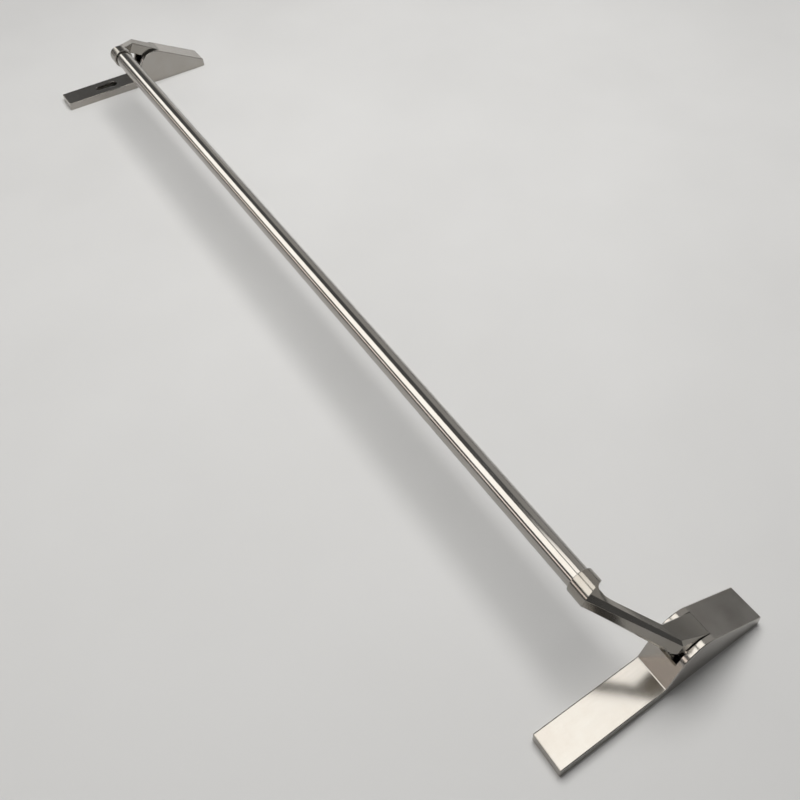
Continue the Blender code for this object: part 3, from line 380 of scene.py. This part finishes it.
def shank_rings():
    start = crease_ring()
    end = elbow_ring(COLLAR_RADIUS - 0.3 * MM, 0)
    drift = (end[0] - start[0] + end[7] - start[7]) / 2
    rings = [start]
    for k in range(1, SHANK_STATIONS + 1):
        t = k / SHANK_STATIONS
        flare = max(0.0, (t - FLARE_START) / (1 - FLARE_START)) ** 2
        station = []
        for i in range(8):
            if i in (0, 5, 6, 7):
                station.append(start[i].lerp(end[i], t))
            else:
                station.append(start[i] + drift * t + (end[i] - start[i] - drift) * flare)
        rings.append(station)
    rings.append(elbow_ring(COLLAR_RADIUS - 0.8 * MM, 2.5 * MM))
    return rings


def head_side(u):
    gap_angle = GAP / HUMP_RADIUS
    rise = Vector((0, -cos(HEAD_RISE), sin(HEAD_RISE)))
    normal = Vector((0, sin(HEAD_RISE), cos(HEAD_RISE)))
    distance = (polar(SEAM_ANGLE, HUMP_RADIUS) - PIVOT).dot(normal) - HEAD_DEPTH
    hub, sector = HUB_RADIUS, SECTOR_RADIUS
    hub_start = atan2(normal.z, normal.y) + acos(distance / hub)
    points = [polar(hub_start + (2 * pi - hub_start) * i / 40, hub) for i in range(41)]
    points += [polar((SEAM_ANGLE + gap_angle) * i / 16, sector) for i in range(17)]
    points.append(polar(SEAM_ANGLE, HUMP_RADIUS) + rise * gap_angle * HUMP_RADIUS)
    return [p + X_AXIS * u for p in points]


def arm_body():
    bm = bmesh.new()
    outer = [bm.verts.new(p) for p in head_side(-HEAD_HALF)]
    inner = [bm.verts.new(p) for p in head_side(HEAD_HALF)]
    rings = [[bm.verts.new(p) for p in station] for station in shank_rings()]
    top_out, top_in, side_top, side_low, low_in, low_out, front_low, front_top = rings[0]
    bm.faces.new([front_top, front_low] + outer)
    bm.faces.new([side_low, side_top] + inner[::-1])
    for i in range(len(outer) - 1):
        bm.faces.new([outer[i], outer[i + 1], inner[i + 1], inner[i]])
    bm.faces.new([top_out, top_in, inner[-1], outer[-1]])
    bm.faces.new([top_out, outer[-1], front_top])
    bm.faces.new([top_in, side_top, inner[-1]])
    bm.faces.new([low_out, low_in, inner[0], outer[0]])
    bm.faces.new([low_out, front_low, outer[0]])
    bm.faces.new([low_in, inner[0], side_low])
    for first, second in zip(rings, rings[1:]):
        for i in range(8):
            j = (i + 1) % 8
            bm.faces.new([first[i], first[j], second[j], second[i]])
    bm.faces.new(rings[-1])
    close_solid(bm)
    return bm


def collar_solid():
    edge = COLLAR_EDGE
    profile = [(0, 0)]
    for i in range(5):
        angle = pi / 2 * (1 - i / 4)
        profile.append((COLLAR_RADIUS - edge + edge * cos(angle), -edge + edge * sin(angle)))
    low = ELBOW_REACH - COLLAR_BACK - COLLAR_RIM
    profile += [(COLLAR_RADIUS, low), (0, low)]
    bm = aim(turned(profile, 96), (1, 0, 0), (COLLAR_RIM, COLLAR_Y, COLLAR_Z))
    geometry = bm.verts[:] + bm.edges[:] + bm.faces[:]
    sliced = bmesh.ops.bisect_plane(
        bm, geom=geometry, dist=1e-7, plane_co=ELBOW, plane_no=mitre_normal(), clear_inner=True,
    )
    rim = [e for e in sliced["geom_cut"] if isinstance(e, bmesh.types.BMEdge)]
    bmesh.ops.contextual_create(bm, geom=rim)
    close_solid(bm)
    return bm


def toe():
    """Lug at the front of the hub that presses on the spring's plunger."""
    angle = pi - REST_LEAN
    reach, root_reach = 16 * MM, 8.4 * MM
    radius, half = 2.5 * MM, 3.5 * MM
    tip = polar(angle, reach)
    root = polar(angle, root_reach)
    outline = arc(tip.y, tip.z, radius, angle - pi / 2, 3 * pi / 2, 24)
    outline.append((root.y, tip.z - radius))
    outline.append((root.y + radius * cos(angle - pi / 2), root.z + radius * sin(angle - pi / 2)))
    return prism(outline, "X", -half, half)


def finger():
    """Ball-ended finger under the hub that turns the spindle follower."""
    angle = -pi / 2 - REST_LEAN
    ball = polar(angle, FINGER_REACH) + X_AXIS * FINGER_OFFSET
    neck, radius, length = 1.7 * MM, 2.3 * MM, 5.6 * MM
    profile = [(0, radius)]
    profile += arc(0, 0, radius, pi / 2, -acos(neck / radius), 14)[1:]
    profile += [(neck, -length), (0, -length)]
    return aim(turned(profile, 32), polar(angle, 1) - PIVOT, ball)


def arm(name, side, has_finger):
    obj = mesh_object(f"{name}_arm_forging", arm_body())
    bevel = obj.modifiers.new("softened_edges", "BEVEL")
    bevel.width = FORGED_EDGE
    bevel.segments = 3
    bevel.limit_method = "ANGLE"
    bevel.angle_limit = radians(18)
    tools = [("UNION", collar_solid()), ("UNION", toe())]
    if has_finger:
        tools.append(("UNION", finger()))
    insert = UNIT_X - TUBE_END
    bore_start = (insert - GAP, COLLAR_Y, COLLAR_Z)
    bore_end = (COLLAR_RIM + CUT_THROUGH, COLLAR_Y, COLLAR_Z)
    tools.append(("DIFFERENCE", rod(bore_start, bore_end, TUBE_RADIUS + GAP, 96)))
    reach = X_AXIS * 2 * HEAD_HALF
    tools.append(("DIFFERENCE", rod(PIVOT - reach, PIVOT + reach, PIN_HOLE_RADIUS, 48)))
    for way in (1, -1):
        start = PIVOT + X_AXIS * way * HUB_HALF
        recess = rod(start, PIVOT + reach * way, WASHER_RECESS_RADIUS, 48)
        tools.append(("DIFFERENCE", recess))
    screw_low, screw_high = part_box("lock_arm_screw")
    along = (screw_low.x + screw_high.x) / 2 + UNIT_X
    radius = (screw_high.x - screw_low.x) / 2 + GAP
    hole = rod((along, COLLAR_Y, COLLAR_Z - 15 * MM), (along, COLLAR_Y, COLLAR_Z - 5 * MM), radius, 32)
    tools.append(("DIFFERENCE", hole))
    combine(obj, tools)
    place_in_unit(obj, side)
    smooth(obj)
    return obj


def tube():
    """Push tube with softened end edges and the two set screw holes."""
    edge = TUBE_EDGE
    inner = TUBE_RADIUS - TUBE_WALL
    end = TUBE_END
    profile = [
        (inner, end), (TUBE_RADIUS - edge, end), (TUBE_RADIUS, end - edge), (TUBE_RADIUS, edge - end),
        (TUBE_RADIUS - edge, -end), (inner, -end),
    ]
    bm = aim(turned(profile, 96, True), (1, 0, 0), (0, COLLAR_Y, COLLAR_Z))
    obj = mesh_object("push_tube_polished", bm)
    tools = []
    for name in ("lock_arm_screw", "hinge_arm_screw"):
        low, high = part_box(name)
        x = (low.x + high.x) / 2
        radius = (high.x - low.x) / 2 + GAP
        hole = rod((x, COLLAR_Y, COLLAR_Z - 14 * MM), (x, COLLAR_Y, COLLAR_Z - 6 * MM), radius, 32)
        tools.append(("DIFFERENCE", hole))
    combine(obj, tools)
    smooth(obj)
    return obj


# ---------------------------------------------------------------- return springs

def spring(name):
    """Coil of round wire with the size and place of the frame's spring."""
    low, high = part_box(f"{name}_return_spring")
    turns, wire = SPRING_TURNS, SPRING_WIRE
    radius = (high.y - low.y) / 2 - wire
    centre = (low + high) / 2
    way = -1 if centre.x > 0 else 1
    steps, sides = 264, 12
    bm = bmesh.new()
    rings = []
    for i in range(steps + 1):
        turn = 2 * pi * turns * i / steps
        out = Vector((way * cos(turn), sin(turn), 0))
        height = low.z + wire + (high.z - low.z - 2 * wire) * i / steps
        middle = Vector((centre.x, centre.y, height)) + out * radius
        section = []
        for k in range(sides):
            angle = 2 * pi * k / sides
            section.append(bm.verts.new(middle + out * wire * cos(angle) + Z_AXIS * wire * sin(angle)))
        rings.append(section)
    for first, second in zip(rings, rings[1:]):
        for k in range(sides):
            m = (k + 1) % sides
            bm.faces.new([first[k], first[m], second[m], second[k]])
    bm.faces.new(rings[0])
    bm.faces.new(rings[-1])
    close_solid(bm)
    obj = mesh_object(f"{name}_spring_coil", bm)
    smooth(obj)
    return obj, low, high


# ---------------------------------------------------------------- materials

class Nodes:
    """Small helper for building a material's node tree."""

    def __init__(self, name):
        self.material = bpy.data.materials.new(name)
        self.material.use_nodes = True
        self.tree = self.material.node_tree
        self.shader = self.tree.nodes["Principled BSDF"]
        self.coordinates = self.tree.nodes.new("ShaderNodeTexCoord").outputs["Object"]

    def link(self, source, target):
        self.tree.links.new(source, target)

    def noise(self, scale, stretch=(1, 1, 1), detail=4, roughness=0.55):
        mapping = self.tree.nodes.new("ShaderNodeMapping")
        mapping.inputs["Scale"].default_value = stretch
        self.link(self.coordinates, mapping.inputs["Vector"])
        node = self.tree.nodes.new("ShaderNodeTexNoise")
        node.inputs["Scale"].default_value = scale
        node.inputs["Detail"].default_value = detail
        node.inputs["Roughness"].default_value = roughness
        self.link(mapping.outputs["Vector"], node.inputs["Vector"])
        return node.outputs["Fac"]

    def remap(self, source, low, high, from_low=0.3, from_high=0.7):
        node = self.tree.nodes.new("ShaderNodeMapRange")
        node.inputs["From Min"].default_value = from_low
        node.inputs["From Max"].default_value = from_high
        node.inputs["To Min"].default_value = low
        node.inputs["To Max"].default_value = high
        self.link(source, node.inputs["Value"])
        return node.outputs["Result"]

    def add(self, a, b):
        node = self.tree.nodes.new("ShaderNodeMath")
        node.operation = "ADD"
        self.link(a, node.inputs[0])
        self.link(b, node.inputs[1])
        return node.outputs["Value"]

    def mix(self, factor, first, second):
        node = self.tree.nodes.new("ShaderNodeMix")
        node.data_type = "RGBA"
        node.inputs[6].default_value = (*first, 1)
        node.inputs[7].default_value = (*second, 1)
        self.link(factor, node.inputs[0])
        return node.outputs[2]

    def bump(self, height, strength, distance):
        node = self.tree.nodes.new("ShaderNodeBump")
        node.inputs["Strength"].default_value = strength
        node.inputs["Distance"].default_value = distance
        self.link(height, node.inputs["Height"])
        return node


def brushed(name, first, second, rough, spread, grain, grain_depth, anisotropic=0.0):
    """Satin metal: grain is the (x, y, z) stretch of the brush lines, short along the brushing."""
    n = Nodes(name)
    n.shader.inputs["Metallic"].default_value = 1.0
    n.shader.inputs["Anisotropic"].default_value = anisotropic
    smudge = n.noise(22, (1, 1, 1), 5, 0.6)
    lines = n.noise(1.0, grain, 3, 0.6)
    tone = n.mix(n.remap(smudge, 0, 1), first, second)
    n.link(tone, n.shader.inputs["Base Color"])
    coarse = n.remap(smudge, rough - spread, rough + spread)
    fine = n.remap(lines, -spread * 0.6, spread * 0.6)
    n.link(n.add(coarse, fine), n.shader.inputs["Roughness"])
    n.link(n.bump(lines, grain_depth, 0.02 * MM).outputs["Normal"], n.shader.inputs["Normal"])
    return n.material


def plated(name, first, second, rough):
    """Plated or turned small parts: fine cloudy tone, slight unevenness."""
    n = Nodes(name)
    n.shader.inputs["Metallic"].default_value = 1.0
    cloud = n.noise(180, (1, 1, 1), 4, 0.6)
    n.link(n.mix(n.remap(cloud, 0, 1), first, second), n.shader.inputs["Base Color"])
    n.link(n.remap(cloud, rough - 0.07, rough + 0.09), n.shader.inputs["Roughness"])
    fine = n.noise(900, (1, 1, 1), 2)
    n.link(n.bump(fine, 0.12, 0.03 * MM).outputs["Normal"], n.shader.inputs["Normal"])
    return n.material


def rubber(name):
    n = Nodes(name)
    n.shader.inputs["Metallic"].default_value = 0.0
    cloud = n.noise(240, (1, 1, 1), 4)
    tone = n.mix(n.remap(cloud, 0, 1), (0.018, 0.018, 0.018), (0.035, 0.034, 0.033))
    n.link(tone, n.shader.inputs["Base Color"])
    n.link(n.remap(cloud, 0.68, 0.85), n.shader.inputs["Roughness"])
    fine = n.noise(1600, (1, 1, 1), 2)
    n.link(n.bump(fine, 0.25, 0.05 * MM).outputs["Normal"], n.shader.inputs["Normal"])
    return n.material


def table_top():
    """Pale matt laminate with a faint cloudy tone."""
    n = Nodes("pale_table")
    n.shader.inputs["Metallic"].default_value = 0.0
    cloud = n.noise(3.5, (1, 1, 1), 3)
    tone = n.mix(n.remap(cloud, 0, 1), (0.63, 0.625, 0.615), (0.67, 0.665, 0.655))
    n.link(tone, n.shader.inputs["Base Color"])
    n.link(n.remap(cloud, 0.55, 0.65), n.shader.inputs["Roughness"])
    fine = n.noise(900, (1, 1, 1), 2)
    n.link(n.bump(fine, 0.05, 0.05 * MM).outputs["Normal"], n.shader.inputs["Normal"])
    return n.material


def dress(obj, material):
    obj.data.materials.clear()
    obj.data.materials.append(material)


WARM, COOL = (0.37, 0.345, 0.315), (0.42, 0.405, 0.38)
ARM_WARM, ARM_COOL = (0.30, 0.28, 0.25), (0.345, 0.33, 0.305)
TUBE_WARM, TUBE_COOL = (0.37, 0.35, 0.325), (0.41, 0.395, 0.37)
LOOKS = {
    "cover": brushed("satin_cover_steel", WARM, COOL, 0.19, 0.03, (1600, 60, 1600), 0.25),
    "arm": brushed("satin_arm_steel", ARM_WARM, ARM_COOL, 0.18, 0.03, (120, 1500, 1500), 0.25),
    "tube": brushed("polished_tube_steel", TUBE_WARM, TUBE_COOL, 0.13, 0.03, (12, 1400, 1400), 0.2),
    "zinc": plated("zinc_plate", (0.46, 0.46, 0.44), (0.56, 0.56, 0.55), 0.42),
    "bright": plated("turned_steel", (0.56, 0.55, 0.53), (0.66, 0.65, 0.63), 0.24),
    "spring": plated("spring_wire", (0.16, 0.16, 0.17), (0.24, 0.24, 0.25), 0.34),
    "bronze": plated("sintered_bronze", (0.48, 0.32, 0.14), (0.58, 0.40, 0.20), 0.42),
    "rubber": rubber("buffer_rubber"),
}
NODE_LOOKS = {
    "base_plate": "zinc", "pivot_bracket": "zinc", "follower_keeper": "zinc", "spindle_follower": "zinc",
    "tube_plug": "zinc", "return_spring": "spring", "retaining_ring": "spring", "stop_buffer": "rubber",
    "washer": "bronze",
}


def dress_frame():
    """Every carried-over node gets a finished material."""
    for name, obj in frame["nodes"].items():
        look = "bright"
        for ending, chosen in NODE_LOOKS.items():
            if name.endswith(ending):
                look = chosen
        dress(obj, LOOKS[look])


# ---------------------------------------------------------------- studio

def floor():
    bm = bmesh.new()
    bmesh.ops.create_grid(bm, x_segments=2, y_segments=2, size=6)
    obj = mesh_object("table_top", bm)
    dress(obj, table_top())


def soft_box(name, place, target, size, radiance, colour, lights_matt):
    """Rectangular light, stated by how bright its face looks. It lights matt surfaces or shows in gloss."""
    width, height = size
    light = bpy.data.lights.new(name, "AREA")
    light.shape = "RECTANGLE"
    light.size = width
    light.size_y = height
    light.energy = radiance * pi * width * height
    light.color = colour
    obj = bpy.data.objects.new(name, light)
    obj.location = place
    obj.rotation_euler = (Vector(target) - Vector(place)).to_track_quat("-Z", "Y").to_euler()
    obj.visible_diffuse = lights_matt
    obj.visible_glossy = not lights_matt
    bpy.context.scene.collection.objects.link(obj)


WHITE = (1.0, 0.995, 0.985)
SOFT_WARM = (1.0, 0.985, 0.95)
WALL_WARM = (1.0, 0.97, 0.93)
WALL_PALE = (1.0, 0.98, 0.95)
PINK = (1.0, 0.90, 0.84)
# Name, place, target, size, radiance, colour, whether it lights matt surfaces
SOFT_BOXES = (
    ("overhead", (-0.25, 0.35, 2.0), (-0.25, 0.35, 0), (1.5, 1.5), 6.2, WHITE, True),
    ("ceiling_front", (-1.7, -1.45, 2.1), (-1.7, -1.45, 0), (5.6, 2.3), 2.4, SOFT_WARM, False),
    ("ceiling_near", (0.35, 0.45, 1.9), (0.35, 0.45, 0), (1.2, 1.0), 2.3, SOFT_WARM, False),
    ("wall_back", (-3.0, 4.2, 3.4), (-3.0, 0, 3.4), (12.0, 6.0), 0.36, WALL_WARM, False),
    ("wall_left", (-5.0, 1.6, 0.4), (0, 1.6, 0.4), (5.0, 0.8), 0.6, WALL_PALE, False),
    ("front_strip", (-1.75, -2.5, 0.82), (-1.75, 0, 0.82), (5.5, 0.5), 1.8, PINK, False),
)


def lights():
    for row in SOFT_BOXES:
        soft_box(*row)
    world = bpy.data.worlds.new("studio")
    world.use_nodes = True
    background = world.node_tree.nodes["Background"]
    background.inputs["Color"].default_value = (0.98, 0.99, 1.0, 1)
    background.inputs["Strength"].default_value = 0.14
    bpy.context.scene.world = world
    bpy.context.scene.view_settings.view_transform = "Standard"


CAMERA_PLACE = Vector((0.7447, -0.3311, 0.7735))
CAMERA_TARGET = Vector((0.0645, 0.0841, 0))
CAMERA_ROLL = radians(-2.6)


def camera():
    data = bpy.data.cameras.new("camera")
    data.sensor_width = 36
    data.lens = 41.72
    data.shift_y = -0.1375
    obj = bpy.data.objects.new("camera", data)
    aim_turn = (CAMERA_TARGET - CAMERA_PLACE).to_track_quat("-Z", "Y")
    obj.location = CAMERA_PLACE
    obj.rotation_mode = "QUATERNION"
    obj.rotation_quaternion = aim_turn @ Quaternion((0, 0, 1), CAMERA_ROLL)
    bpy.context.scene.collection.objects.link(obj)
    bpy.context.scene.camera = obj


# ---------------------------------------------------------------- assembly

def units():
    for name, side in (("lock", 1), ("hinge", -1)):
        is_lock = name == "lock"
        shell = cover(name, side, is_lock)
        dress(shell, LOOKS["cover"])
        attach(shell, "door_units")
        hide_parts(f"{name}_cover")
        forging = arm(name, side, is_lock)
        dress(forging, LOOKS["arm"])
        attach(forging, "push_bar")
        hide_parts(f"{name}_arm")
        coil, low, high = spring(name)
        dress(coil, LOOKS["spring"])
        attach(coil, "door_units")
        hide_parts(f"{name}_return_spring")
        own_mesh(coil)
    bar = tube()
    dress(bar, LOOKS["tube"])
    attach(bar, "push_bar")
    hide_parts("push_tube")


dress_frame()
units()
floor()
lights()
camera()
